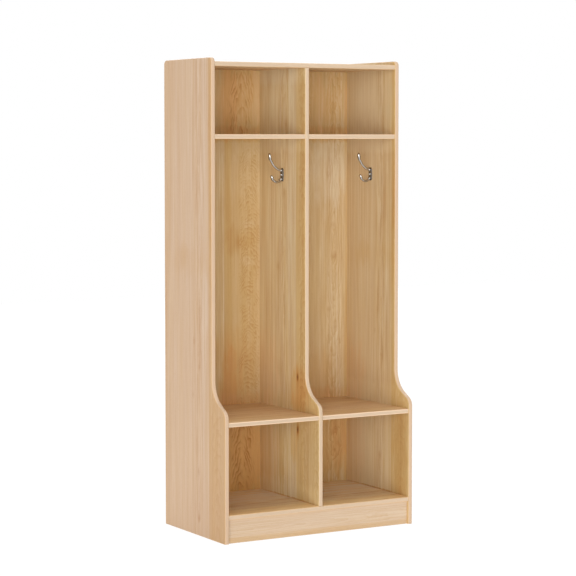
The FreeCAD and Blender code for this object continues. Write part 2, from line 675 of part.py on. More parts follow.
for name, board, wall in HUNG_ON:
    hook = coat_hook(name + "_hook", wall)
    hole = Row("X", ("-plate_thickness", "0", "0"), "z", 1, "0")
    drill(hook, hole, HOOK_HOLE, "plate_thickness", 1)
    pilot = Row("X", (wall, "hook_from_middle", "hook_height"), "z", 1, "0")
    drill(board, pilot, HOOK_HOLE, "hook_screw_length - plate_thickness + dowel_end_play", 1)
    place = pilot.places()[0] - FreeCAD.Vector(size("plate_thickness"), 0, 0)
    fixing = group(name + "_hook_screw", hook_screw,
                   [FreeCAD.Placement(place, HEAD_TOWARDS_BAY)])
    sub_parts += [hook, fixing]


# ---------------------------------------------------------------- checks and files
doc.recompute()
for thing in doc.Objects:
    if {"Invalid", "Error"} & set(thing.State):
        raise RuntimeError(f"{thing.Label} failed: {thing.State}")
os.makedirs("parts", exist_ok=True)
for part in sub_parts:
    shape = part.Shape
    if shape.isNull() or not shape.isValid():
        raise RuntimeError(f"{part.Label} has no valid shape")
    shape.exportStep(f"parts/{part.Label}.step")
    print(f"{part.Label}: {len(shape.Solids)} solid(s), {shape.Volume / 1000:.1f} cm3")
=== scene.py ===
# %% [markdown]
# # Mudroom locker unit
#
# A free-standing coat locker in light wood. It has two bays side by side, and each bay has a
# cubby on top, a coat space with a double hook, a seat, and a shoe cubby at the foot. The boards
# were first built as solids, with their slots, grooves and dowels. This lesson loads those solids
# and gives them their looks: wood for the boards, chrome for the hooks, a pale studio and light.
#
# ## Load the model
#
# The solids arrive as a fixed frame in metres: the origin is on the floor under the middle of the
# unit, the open front faces -Y, and +Z is up. They could be modelled once more as meshes, but each
# board and hook has its true shape already, so only their materials are new. The box round them is
# taken and printed.

# %% Load the model
import math

import bpy
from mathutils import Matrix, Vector


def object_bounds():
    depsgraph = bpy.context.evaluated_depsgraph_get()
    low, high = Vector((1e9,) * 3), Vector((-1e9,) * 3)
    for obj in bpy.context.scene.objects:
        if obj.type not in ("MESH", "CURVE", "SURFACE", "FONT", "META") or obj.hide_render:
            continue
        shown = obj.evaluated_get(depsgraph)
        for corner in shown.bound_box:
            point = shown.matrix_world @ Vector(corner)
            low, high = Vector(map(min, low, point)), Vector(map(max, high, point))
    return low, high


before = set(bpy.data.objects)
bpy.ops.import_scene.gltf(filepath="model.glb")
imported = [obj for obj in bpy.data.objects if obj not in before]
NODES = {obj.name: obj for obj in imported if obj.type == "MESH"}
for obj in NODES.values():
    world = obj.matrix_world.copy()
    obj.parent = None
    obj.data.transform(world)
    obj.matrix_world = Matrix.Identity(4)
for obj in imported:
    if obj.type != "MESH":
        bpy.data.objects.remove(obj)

MODEL_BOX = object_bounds()
lowest, highest = ([round(value, 4) for value in corner] for corner in MODEL_BOX)
print(len(NODES), "solids, from", lowest, "to", highest)

# %% [markdown]
# ## Sums written as sums
#
# A wood grain is a long sum of small patterns, and in the shader editor it would be a hundred
# Math nodes joined by hand. Here one small class wraps a node's output and gives it the usual
# signs, so that `1 - mask` adds the Math node by itself. Every other node comes from one method:
# it takes the kind of node, its settings, and the values or wires of its sockets.

# %% Sums written as sums
class Wire:
    """The output of a node. Arithmetic on it adds Math nodes to its material."""

    def __init__(self, graph, socket):
        self.graph = graph
        self.socket = socket

    def math(self, operation, *others):
        values = dict(enumerate((self, *others)))
        return self.graph.node("ShaderNodeMath", {"operation": operation}, values)

    def __add__(self, other):
        return self.math("ADD", other)

    def __sub__(self, other):
        return self.math("SUBTRACT", other)

    def __rsub__(self, other):
        return (self * -1).math("ADD", other)

    def __mul__(self, other):
        return self.math("MULTIPLY", other)

    def __truediv__(self, other):
        return self.math("DIVIDE", other)

    def __pow__(self, other):
        return self.math("POWER", other)

    def __abs__(self):
        return self.math("ABSOLUTE")

    def clamp(self):
        return self.math("MAXIMUM", 0.0).math("MINIMUM", 1.0)

    __radd__ = __add__
    __rmul__ = __mul__


class Graph:
    """A new material or world, and the one method that adds nodes to it."""

    def __init__(self, name, store=bpy.data.materials, shader="Principled BSDF"):
        self.owner = store.new(name)
        self.owner.use_nodes = True
        self.tree = self.owner.node_tree
        self.shader = self.tree.nodes[shader]

    def node(self, kind, settings=None, inputs=None, output=0):
        node = self.tree.nodes.new(kind)
        for name, value in (settings or {}).items():
            if name == "stops":
                self.set_stops(node.color_ramp.elements, value)
            else:
                setattr(node, name, value)
        for name, value in (inputs or {}).items():
            self.feed(node.inputs[name], value)
        return Wire(self, node.outputs[output])

    def set_stops(self, ramp, stops):
        """Fills a colour ramp with places and their red, green, blue and alpha."""
        while len(ramp) < len(stops):
            ramp.new(0.5)
        for element, (place, colour) in zip(ramp, stops):
            element.position = place
            element.color = colour

    def feed(self, socket, value):
        """Joins a wire to a socket, or sets the socket's own value. A plain colour gets its alpha."""
        if isinstance(value, Wire):
            self.tree.links.new(value.socket, socket)
        elif isinstance(value, tuple) and len(value) == 3 and socket.type == "RGBA":
            socket.default_value = (*value, 1)
        else:
            socket.default_value = value

    def split(self, kind, wire):
        """Takes a place or a colour apart, and gives the node's three outputs."""
        return self.node(kind, inputs={0: wire}).socket.node.outputs


def step(wire, low, high):
    """0 below low, 1 above high, and a smooth rise between them."""
    settings = {"interpolation_type": "SMOOTHSTEP"}
    return wire.graph.node("ShaderNodeMapRange", settings, {0: wire, 1: low, 2: high, 3: 0.0, 4: 1.0})


def mix(factor, first, second):
    """Colour first where factor is 0 and colour second where it is 1."""
    settings = {"data_type": "RGBA"}
    return factor.graph.node("ShaderNodeMix", settings, {0: factor, 6: first, 7: second}, output=2)


# %% [markdown]
# ## How a board is measured
#
# Wood has a direction. Every pattern below is written in three lengths in millimetres: along the
# grain, across the face, and through the board. The uprights have their grain upright, and the
# shelves, the kick board and the rails have it from left to right. Only the stretcher under the
# bottom shelf has it from front to rear.
#
# The lengths could come from an unwrapped map of each board, but then neighbours wouldn't agree
# on a scale. Here they come from the object's own coordinates, so a pattern stays with its board
# from any side. The noise is stretched: a patch is far longer along the grain than across it.

# %% How a board is measured
MILLIMETRES = 1000          # in one metre
AXES = {"x": 0, "y": 1, "z": 2}
SEED_SHIFT = 1.7            # how far apart the noise of two seeds is taken


class Grain:
    """Where a point lies on a board: along the grain, across the face and through the board.

    `face` is 1 on the board's broad faces and 0 on its narrow edges."""

    def __init__(self, graph, along, across, through):
        place = graph.split("ShaderNodeSeparateXYZ", graph.node("ShaderNodeTexCoord", output="Object"))
        facing = graph.split("ShaderNodeSeparateXYZ", graph.node("ShaderNodeTexCoord", output="Normal"))
        axis = [Wire(graph, place[i]) * MILLIMETRES for i in range(3)]
        self.graph = graph
        self.along = axis[AXES[along]]
        self.across = axis[AXES[across]]
        self.through = abs(axis[AXES[through]])
        self.face = abs(Wire(graph, facing[AXES[through]]))

    def noise(self, width, length, seed, detail=2.0):
        """Stretched noise from about -0.5 to 0.5, in patches of that width and length."""
        depth = self.through / width + seed * SEED_SHIFT
        place = self.graph.node("ShaderNodeCombineXYZ", inputs={
            0: self.across / width, 1: self.along / length, 2: depth})
        return self.graph.node("ShaderNodeTexNoise", inputs={
            "Vector": place, "Scale": 1.0, "Detail": detail, "Roughness": 0.55}) - 0.5


# %% [markdown]
# ## Knots and patches
#
# A knot is the root of a branch: a small dark oval, and the fibres part to pass round it. It could
# be a painted spot, but lines that run straight through it would give it away. So the place across
# the board is first moved away from the knot, and every line drawn after that bends round it.
#
# A patch is a large soft area that is darker, warmer or redder. Some are the tree's own colour,
# and many are painted light and shade: paler where a bay is too dim, and warmer, redder or darker
# where shade falls. Its rim is ragged along the fibres, because a clean oval would look sprayed on.

# %% Knots and patches
PARTED_WIDTH = 2.2          # how far the fibres part round a knot, as shares of its half width
PARTED_LENGTH = 2.7         # and of its half length
PARTING = 0.7               # share of the way to the knot's middle that the lines give way
KNOT_SHARPNESS = 1.2
PATCH_SEED = 91
PATCH_RAGGEDNESS = 1.6


def oval(grain, across, along, half_width, half_length):
    """Squared distance from a spot on the board, 1 on the rim of the oval."""
    side = (grain.across - across) / half_width
    length = (grain.along - along) / half_length
    return side * side + length * length


def bell(distance, sharpness=1):
    """1 on a spot, falling off softly with the squared distance from it."""
    return (distance * -sharpness).math("EXPONENT")


def part_fibres(grain, knots):
    """Moves the fibres apart round every knot."""
    for across, along, half_width, half_length, _ in knots:
        near = bell(oval(grain, across, along, half_width * PARTED_WIDTH, half_length * PARTED_LENGTH))
        grain.across = grain.across - (grain.across - across) * near * PARTING


def knot_shade(grain, knots):
    """Dark ovals, each darkest in its middle."""
    shade = grain.across * 0
    for across, along, half_width, half_length, strength in knots:
        near = bell(oval(grain, across, along, half_width, half_length), KNOT_SHARPNESS)
        shade = shade + near * strength
    return shade


def patch_shades(grain, patches, skin):
    """Large soft patches. Each adds a darkness, a warmth and a redness. The first two may be below 0.

    They fade out between the two values of `skin`, in mm from the unit's middle through the board,
    so that the far face of a board stays plain."""
    ragged = grain.noise(width=12, length=60, seed=PATCH_SEED) * PATCH_RAGGEDNESS
    here = 1 - step(grain.through, *skin)
    totals = [grain.across * 0] * 3
    for across, along, half_width, half_length, *shades in patches:
        distance = oval(grain, across, along, half_width, half_length) + ragged
        cover = here * (1 - step(distance, 0.0, 1.0))
        totals = [total + cover * shade for total, shade in zip(totals, shades)]
    return totals


# %% [markdown]
# ## Growth rings and lines
#
# Growth rings could be stripes from a Wave node, but those run through a board at one even pace.
# Here they are drawn as they come about. The log is a set of nested tubes, and a board is a flat
# cut that leans a little to the log's axis. Where the cut lies along the axis the rings show as
# nested arcs, and further out they run straight and close together.
#
# Each ring darkens slowly through the summer and ends at once in winter. Where the tree grew
# crooked, a board shows small pointed arcs, one over the other. Fine dark and pale lines with
# sharp sides lie over all of it.

# %% Growth rings and lines
ARC_TIP = 30                # rounds the tips of the pointed arcs, in square mm
ARC_FADE = 40               # mm over which the arcs fade at both ends of their column
LINE_SIDES = (0.04, 0.12)   # the noise between which a crisp line rises


def ring_line(place, darkening, end):
    """0 to 1 through each whole number of `place`, and back to 0 from `end` on."""
    ring = place.math("FRACT")
    return ring ** darkening * (1 - step(ring, end, 1.0))


def ring_shade(grain, centre, start, lean, spacing, wander, reach, seed):
    """Growth rings round an axis at `centre`, from 0 to 1. They fade out `reach` mm to each side."""
    side = grain.across - centre + grain.noise(22, 90, seed) * wander
    depth = (grain.along - start) * lean + grain.noise(14, 40, seed + 1) * wander
    radius = (side * side + depth * depth) ** 0.5
    radius = radius + grain.noise(40, 400, seed + 2) * spacing * 2
    inside = 1 - step(abs(grain.across - centre), reach * 0.5, reach)
    return ring_line(radius / spacing, darkening=2.0, end=0.88) * inside


def straight_rings(grain, spacing, seed):
    """Rings cut far from the log's axis: fine dark lines along the board, from 0 to 1."""
    side = grain.across + grain.noise(30, 500, seed) * 14
    place = side / spacing + grain.noise(9, 160, seed + 1) * 1.3
    here = step(grain.noise(14, 220, seed + 2), -0.15, 0.2)
    return ring_line(place, darkening=2.5, end=0.9) * here


def stacked_arcs(grain, centre, period, slope, wander, reach, bottom, top, seed):
    """A lively figure of pointed arcs, one over the other, `period` mm apart, from 0 to 1."""
    side = grain.across - centre + grain.noise(20, 45, seed) * wander * 3
    height = grain.along + (side * side + ARC_TIP) ** 0.5 * slope
    height = height + grain.noise(9, 16, seed + 1) * wander * slope
    place = height / period + grain.noise(30, 60, seed + 2) * 3
    here = step(grain.noise(16, 50, seed + 4), -0.2, 0.12)
    line = ring_line(place, darkening=1.5, end=0.8) * here
    ragged_reach = abs(grain.across - centre) + grain.noise(20, 50, seed + 3) * 30
    between = step(grain.along, bottom, bottom + ARC_FADE) * (1 - step(grain.along, top - ARC_FADE, top))
    return line * between * (1 - step(ragged_reach, reach * 0.6, reach))


def crisp_lines(grain, width, length, seed):
    """Lines with sharp sides, scattered along the board: 1 on a dark one and -1 on a pale one."""
    field = grain.noise(width, length, seed, detail=1.0)
    return step(field, *LINE_SIDES) - step(field * -1, *LINE_SIDES)


# %% [markdown]
# ## Staves
#
# The boards are edge-glued from staves of a pale, fine-grained wood. Each stave has a warmth and a
# darkness of its own, and some carry strong lines or sway from side to side, while others are
# calm. Separate solids could stand for the staves, but in a sanded board only the wood's own
# change shows at a glue line. So one colour ramp, laid across the board, holds the four values:
# they ride in its red, green, blue and alpha.

# %% Staves
BORDER_WANDER = 5           # mm that the border of a stave wanders to and fro


def read_staves(grain, staves, seed):
    """Warmth, darkness, strength of the lines, and sway, as the staves give them across the board."""
    low = staves[0][0]
    reach = staves[-1][0] - low
    stops = [((start - low) / reach, tuple(values)) for start, *values in staves]
    place = (grain.across + grain.noise(20, 120, seed) * BORDER_WANDER - low) / reach
    ramp = grain.graph.node("ShaderNodeValToRGB", {"stops": stops}, {0: place}).socket.node
    parts = grain.graph.split("ShaderNodeSeparateColor", Wire(grain.graph, ramp.outputs["Color"]))
    warmth, darkness, lines = (Wire(grain.graph, parts[i]) for i in range(3))
    return warmth, darkness, lines, Wire(grain.graph, ramp.outputs["Alpha"])


# %% [markdown]
# ## Colour of wood
#
# A sum of patterns can't be a colour by itself: added to a colour, a few strong ones would leave
# the range of real wood. So they are added up as a warmth, a redness and a darkness, and a chain
# of mixes turns those into colour. Warmth leads from pale to honey to amber, and redness to rose.
# Darkness leads from cream to brown and, in the heart of a dark knot, to bark.
#
# A board's narrow edges carry a paler lipping. The arris, where a face turns into the edge, has a
# colour of its own: on the side panels it is darkened as painted shade, and on the upper shelf and
# the seat it is brightened as a painted highlight. The clear satin lacquer sinks a little into
# fibres and pores, so gloss and relief come from those.

# %% Colour of wood
# cream is reached where the darkness falls below 0, much of it in patches of painted light, and rose through
# the redness, most of which is painted shade
CREAM = (0.92, 0.77, 0.57)
PALE = (0.74, 0.577, 0.383)
HONEY = (0.683, 0.463, 0.206)
AMBER = (0.70, 0.39, 0.131)
ROSE = (0.80, 0.47, 0.25)
BROWN = (0.42, 0.16, 0.036)
BARK = (0.24, 0.105, 0.035)

# the lipping and the arris: the side panels' arris is painted shade, the shelves' a painted highlight
SIDE_EDGES = (0.66, 0.47, 0.315), (0.61, 0.43, 0.275)
PALE_EDGES = (0.665, 0.50, 0.345), (0.66, 0.49, 0.33)
SHELF_EDGES_WITH_PAINTED_HIGHLIGHT = (0.665, 0.50, 0.345), (0.88, 0.68, 0.49)

BRIGHTEST = 0.95            # no wood reflects more than this
LACQUER_ROUGHNESS = 0.42
LACQUER_REFLECTION = 0.3
RELIEF = 0.0003             # metres
LIPPING_LINES = 0.92        # how light the lipping is on its fine lines


def tinted(shade, tint):
    """A shade with its red, green and blue scaled for one board."""
    return tuple(min(value * share, BRIGHTEST) for value, share in zip(shade, tint))


def wood_colour(warmth, darkness, redness, tint):
    colour = mix(warmth.clamp(), tinted(PALE, tint), tinted(HONEY, tint))
    colour = mix((warmth - 1).clamp(), colour, tinted(AMBER, tint))
    colour = mix(redness.clamp(), colour, tinted(ROSE, tint))
    colour = mix((darkness * -1).clamp(), colour, tinted(CREAM, tint))
    colour = mix(darkness.clamp(), colour, tinted(BROWN, tint))
    return mix((darkness - 1).clamp(), colour, BARK)


def with_edges(colour, grain, fine_lines, edges):
    """Leaves a board's colour on its broad faces, and gives its edges the lipping and the arris."""
    lipping, arris = edges
    lined = tuple(value * LIPPING_LINES for value in lipping)
    edging = mix(step(fine_lines, -0.5, 0.5), lipping, lined)
    edging = mix(step(grain.face, 0.05, 0.5), edging, arris)
    return mix(1 - step(grain.face, 0.6, 0.9), colour, edging)


def lacquer(graph, fibre, pore):
    """Clear satin lacquer, duller and a little sunk on fibres and pores."""
    graph.feed(graph.shader.inputs["Roughness"], LACQUER_ROUGHNESS + fibre * 0.12 + pore * 0.12)
    graph.shader.inputs["Specular IOR Level"].default_value = LACQUER_REFLECTION
    relief = graph.node("ShaderNodeBump", inputs={
        "Strength": 0.25, "Distance": RELIEF, "Height": fibre - pore * 0.6})
    graph.feed(graph.shader.inputs["Normal"], relief)


# %% [markdown]
# ## Wood
#
# One function makes every board's wood. Real boards differ in what they carry and not in what
# they are, so a board is described by tables, and a new board needs no new nodes made by hand.
# To the staves it adds broad clouds, long streaks, straight rings, crisp threads and waves, fine
# fibres and short pores. Knots, patches and figures come from the tables.

# %% Wood
GROUND = 0.12               # darkness of every board before its patterns
CLOUD_SHADE = 0.14          # and the darkness that each pattern adds
STREAK_SHADE = 0.9
RING_SHADE = 0.5
FIBRE_SHADE = 0.20
PORE_SHADE = 0.16
EVENING_OUT = 0.06          # taken off again, so that lines don't darken the board as a whole
DRIFT_WARMTH = 0.6
LINE_WARMTH = 0.8
RING_WARMTH = 0.3
FIGURE_IN_PATCH = 0.6       # a figure is stronger by this share where a patch is fully warm
SWAY = 16                   # mm that the fibres of a stave can sway from side to side
FIRST_FIGURE_SEED = 40
SEEDS_PER_FIGURE = 5
BOTH_FACES = (900, 901)     # mm from the middle, beyond every board that has patches


def wood(name, along, across, through, staves, seed, tint=(1, 1, 1), edges=PALE_EDGES, coarse=1.0,
         streaks=0.5, threads=0.06, knots=(), patches=(), rings=(), arcs=(), skin=BOTH_FACES):
    """A board's material. A row of each table holds, with places and sizes in mm:

    staves: place across the board, warmth, darkness, strength of the lines, sway (low to high)
    knots: across, along, half width, half length, darkness
    patches: across, along, half width, half length, darkness, warmth, redness
    rings: strength, centre, start, lean, spacing, wander, reach
    arcs: strength, centre, period, slope, wander, reach, bottom, top"""
    graph = Graph(name)
    grain = Grain(graph, along, across, through)
    warmth, darkness, lines, sway = read_staves(grain, staves, seed + 3)
    part_fibres(grain, knots)
    grain.across = grain.across + grain.noise(30, 110, seed + 5) * sway * SWAY

    # the first two numbers of every pattern are the width and the length of its patches or lines
    cloud = grain.noise(60, 260, seed)
    streak = grain.noise(7, 320, seed + 11, detail=1.0)
    thread = crisp_lines(grain, 3.2 * coarse, 200 * coarse, seed + 19)
    wave = crisp_lines(grain, 6.5 * coarse, 60 * coarse, seed + 29)
    fibre = grain.noise(0.8, 26, seed + 23)
    pore = step(grain.noise(0.4, 7, seed + 31, detail=0.0), 0.18, 0.28)
    line = straight_rings(grain, spacing=7.5 * coarse, seed=seed + 13)
    # the patches give some of the wood's own colour, and much painted light and shade
    patch_dark, patch_warm, redness = patch_shades(grain, patches, skin)

    long_lines = (streak * STREAK_SHADE + line * lines * RING_SHADE - EVENING_OUT) * lines * streaks
    fine_lines = (thread * (lines + 0.5) + wave * lines * lines) * threads
    darkness = darkness + GROUND + cloud * CLOUD_SHADE + long_lines
    darkness = darkness + fine_lines + fibre * FIBRE_SHADE + pore * PORE_SHADE
    darkness = darkness + knot_shade(grain, knots) + patch_dark
    drift = grain.noise(25, 300, seed + 17) * DRIFT_WARMTH
    warmth = warmth + patch_warm + drift + (streak + line * RING_WARMTH) * lines * LINE_WARMTH

    figures = [(strength, ring_shade, shape) for strength, *shape in rings]
    figures += [(strength, stacked_arcs, shape) for strength, *shape in arcs]
    for number, (strength, draw, shape) in enumerate(figures):
        own_seed = seed + FIRST_FIGURE_SEED + SEEDS_PER_FIGURE * number
        figure = draw(grain, *shape, own_seed) * strength * (1 + patch_warm * FIGURE_IN_PATCH)
        darkness = darkness + figure
        warmth = warmth + figure

    colour = with_edges(wood_colour(warmth, darkness, redness, tint), grain, fibre + line, edges)
    graph.feed(graph.shader.inputs["Base Color"], colour)
    lacquer(graph, fibre, pore)
    print(name, len(graph.tree.nodes), "nodes")
    return graph.owner


def paint(material, *names):
    """Puts a material in the slots of the solids of those names."""
    for name in names:
        for slot in NODES[name].material_slots:
            slot.material = material


# %% [markdown]
# ## The side panels
#
# Both side panels are cut from the same glued board, so the same figure stands on the left one's
# outside and the right one's inside. The rear half is plain, then comes a stave with wavy dark
# lines and small knots, a pinkish one with fine parallel lines, and a honey-coloured one in front.
#
# They could share one material. Each has its own, because the right one's inside, in the bays, is
# a little paler and yellower, partly as painted light and shade, and its inner face has patches,
# most of them painted light and shade, that must not show outside.

# %% The side panels
WHOLE = 2000                # half width or length of a patch that crosses the whole board
UPRIGHT = dict(along="z", across="y", through="x", coarse=1.8)
SIDE_STAVES = [
    # honey-coloured, in front
    (-165.5, 0.80, 0.02, 0.5, 0.5), (-100, 0.80, 0.03, 0.5, 0.3), (-84, 0.80, 0.05, 0.5, 0.2),
    # pinkish, with fine lines
    (-80, 0.32, 0.02, 0.6, 0.1), (-48, 0.15, 0.00, 0.8, 0.2),
    # wavy
    (-42, 0.22, 0.04, 1.0, 0.7), (-12, 0.22, 0.03, 1.0, 0.8),
    (-4, 0.30, 0.05, 0.7, 0.4), (8, 0.30, 0.05, 0.6, 0.2),
    # plain, to the rear
    (11, 0.20, 0.01, 0.4, 0.2), (105, 0.25, 0.02, 0.4, 0.2),
    (150, 0.40, 0.04, 0.5, 0.5), (165.5, 0.45, 0.05, 0.5, 0.5)]
SIDE_KNOTS = [(-25, 165, 5, 11, 0.16), (-25, 45, 5, 11, 0.18), (-30, 435, 4, 9, 0.14), (0, 500, 4, 9, 0.12),
              (5, 360, 4, 9, 0.12)]
SIDE_PATCHES = [
    (58, 712, 34, 44, 0.04, 0.2, 0), (20, 700, 150, 45, 0.02, 0.12, 0), (-86, 950, 11, 420, 0.06, 0.2, 0),
    (-60, 600, 20, 120, -0.03, -0.2, 0), (105, 900, 12, 90, 0.03, 0.0, 0)]
SIDE_RINGS = [(0.12, -28, 250, 0.04, 7.0, 14, 26), (0.16, -125, -120, 0.12, 5.0, 14, 46)]

left_side_wood = wood(
    "left side wood", staves=SIDE_STAVES, seed=3, tint=(0.89, 0.84, 0.885), edges=SIDE_EDGES,
    streaks=0.4, knots=SIDE_KNOTS, patches=SIDE_PATCHES, rings=SIDE_RINGS, **UPRIGHT)
paint(left_side_wood, "left_side")

INNER_PATCHES = [
    # redder at the rear of the seat and of the low cubby: painted shade, the warm colour of deep shade
    (120, 370, 90, 130, -0.02, 0.1, 0.35), (120, 180, 90, 170, -0.04, 0.1, 0.3),
    # paler under the upper shelf and in the top cubby: painted light
    (0, 1005, WHOLE, 34, -0.18, -0.1, 0), (0, 1130, WHOLE, 110, -0.24, 0.0, 0),
    # a painted shadow along the bottom shelf, under a low cubby made paler as painted light
    (0, 72, 150, 5, 0.50, 0.5, 0.3), (0, 160, WHOLE, 140, -0.20, 0.05, 0),
    # pale over the seat: painted light
    (0, 330, WHOLE, 40, -0.20, 0.1, 0),
    # a warmer stave, and a front corner of the low cubby darkened as painted shade
    (-66, 700, 38, 1400, 0.06, 0.25, 0), (-128, 180, 40, 150, 0.24, 0.25, 0)]
INNER_FACE = (272, 274)     # mm from the middle: patches end a little under the right panel's inner face

# a paler, yellower tint than the left one's: partly the wood, partly painted light and shade
right_side_wood = wood(
    "right side wood", staves=SIDE_STAVES, seed=3, tint=(0.955, 0.97, 0.925), edges=SIDE_EDGES,
    threads=0.11, knots=SIDE_KNOTS, patches=SIDE_PATCHES + INNER_PATCHES, rings=SIDE_RINGS,
    skin=INNER_FACE, **UPRIGHT)
paint(right_side_wood, "right_side")

# %% [markdown]
# ## The divider
#
# The divider comes from the same stack of boards, but was cut about 40 mm further back, so the
# wavy stave stands nearer its middle. Two dark knots sit in its front stave, each in a brown halo
# where resin has seeped along the fibres.
#
# The side panels' table could be shifted to make it, but staves of another board are never quite
# as warm or as wide, so it has a table of its own.

# %% The divider
DIVIDER_STAVES = [
    # amber, in front
    (-165.5, 0.75, 0.03, 0.6, 0.5), (-95, 0.80, 0.06, 0.5, 0.4), (-72, 0.95, 0.10, 0.5, 0.3),
    (-50, 0.85, 0.05, 0.5, 0.2),
    # paler, with fine lines
    (-47, 0.40, 0.02, 0.7, 0.1), (-12, 0.35, 0.00, 0.9, 0.2),
    # wavy
    (-6, 0.50, 0.04, 1.0, 0.8), (36, 0.50, 0.05, 1.0, 0.8), (46, 0.58, 0.06, 0.8, 0.4),
    # plain, to the rear
    (52, 0.50, 0.04, 0.7, 0.2), (110, 0.55, 0.04, 0.6, 0.2), (144.5, 0.65, 0.05, 0.5, 0.3)]
DIVIDER_KNOTS = [
    (45, 680, 5, 11, 0.15), (10, 600, 5, 11, 0.15), (15, 870, 5, 11, 0.15), (15, 990, 5, 11, 0.15),
    # the two dark ones
    (-56, 395, 2.7, 9, 1.6), (-57, 257, 2.7, 9, 1.6)]
DIVIDER_PATCHES = [
    # the halos of the dark knots, and the brown of their stave
    (-56, 395, 10, 34, 0.08, 0.6, 0), (-57, 257, 10, 36, 0.10, 0.6, 0), (-66, 362, 62, 72, 0.11, 0.9, 0.15),
    (-38, 250, 24, 110, 0.06, 0.5, 0.1), (-84, 900, 12, 420, 0.06, 0.3, 0),
    # paler in the top cubby and the low one: painted light
    (60, 1112, 110, 110, -0.20, 0.0, 0), (80, 180, 160, 150, -0.16, 0.35, 0),
    # redder at the rear of the low cubby, paler and redder over the seat: painted light and painted shade
    (110, 170, 90, 190, -0.04, 0.1, 0.4), (100, 350, 160, 80, -0.04, -0.1, 0),
    (120, 380, 100, 160, 0.0, 0.1, 0.35),
    # paler under the upper shelf and the top board: painted light
    (0, 1005, WHOLE, 34, -0.14, -0.1, 0), (0, 1190, WHOLE, 40, -0.16, -0.2, 0),
    # a painted shadow along the bottom shelf, and painted light over it and over the seat
    (0, 72, 150, 5, 0.50, 0.5, 0.3), (0, 85, WHOLE, 40, -0.16, 0.0, 0), (0, 325, WHOLE, 30, -0.06, 0.2, 0)]
DIVIDER_RINGS = [(0.15, 14, 350, 0.04, 8.0, 16, 34), (0.22, -88, 20, 0.14, 5.0, 16, 36),
                 (0.22, -150, 0, 0.14, 5.0, 16, 26)]

divider_wood = wood(
    "divider wood", staves=DIVIDER_STAVES, seed=5, tint=(1.01, 1.09, 1.11), streaks=0.45, threads=0.11,
    knots=DIVIDER_KNOTS, patches=DIVIDER_PATCHES, rings=DIVIDER_RINGS, **UPRIGHT)
paint(divider_wood, "divider")

# %% [markdown]
# ## The back panel
#
# One board closes both bays. In the left bay it has a lively figure of small stacked arcs on a
# calm ground, with a brown wedge a little above mid height. In the right bay it is calmer, with
# two pale streaks. Bands of painted light and shade cross it: it is paler over the seat, in the
# cubbies, under the upper shelf and at the hooks, warmer and redder in the cubbies, and darker in
# lines just above the shelves and in corners of the low cubbies.
#
# Each bay could have a board of its own, but the real panel passes behind the divider in one
# piece, and so does this table. The front face carries the patches, and the rear stays plain.

# %% The back panel
BACK_STAVES = [
    # left bay: plain at the side, pale with lines, amber, then the stave of the arcs
    (-273.5, 0.7, 0.08, 0.5, 0.4), (-200, 0.7, 0.12, 0.6, 0.5),
    (-139, 0.55, 0.10, 0.8, 0.1), (-115, 0.55, 0.10, 0.8, 0.1),
    (-112, 1.0, 0.14, 0.5, 0.2), (-94, 1.0, 0.12, 0.5, 0.2),
    (-90, 0.75, 0.09, 0.4, 0.4), (-60, 0.75, 0.06, 0.4, 0.7),
    (-16, 0.70, 0.04, 0.4, 0.7), (-8, 0.60, 0.03, 0.3, 0.2),
    # right bay: calm, then fine lines, a pale stave and a honey-coloured one
    (80, 0.75, 0.12, 0.6, 0.5), (145, 0.55, 0.09, 0.5, 0.2), (178, 0.60, 0.11, 0.5, 0.2),
    (182, 0.50, 0.07, 0.8, 0.2), (207, 0.50, 0.07, 0.9, 0.2),
    (211, 0.35, 0.02, 1.0, 0.6), (258, 0.40, 0.02, 1.0, 0.4),
    (264, 0.80, 0.08, 0.6, 0.2), (273.5, 0.90, 0.08, 0.6, 0.2)]
BACK_KNOTS = [
    (225, 780, 5, 11, 0.25), (228, 695, 5, 11, 0.25), (210, 920, 4, 9, 0.2), (210, 550, 4, 9, 0.2),
    (232, 500, 4, 9, 0.2), (-180, 640, 6, 13, 0.3), (70, 520, 6, 13, 0.3)]
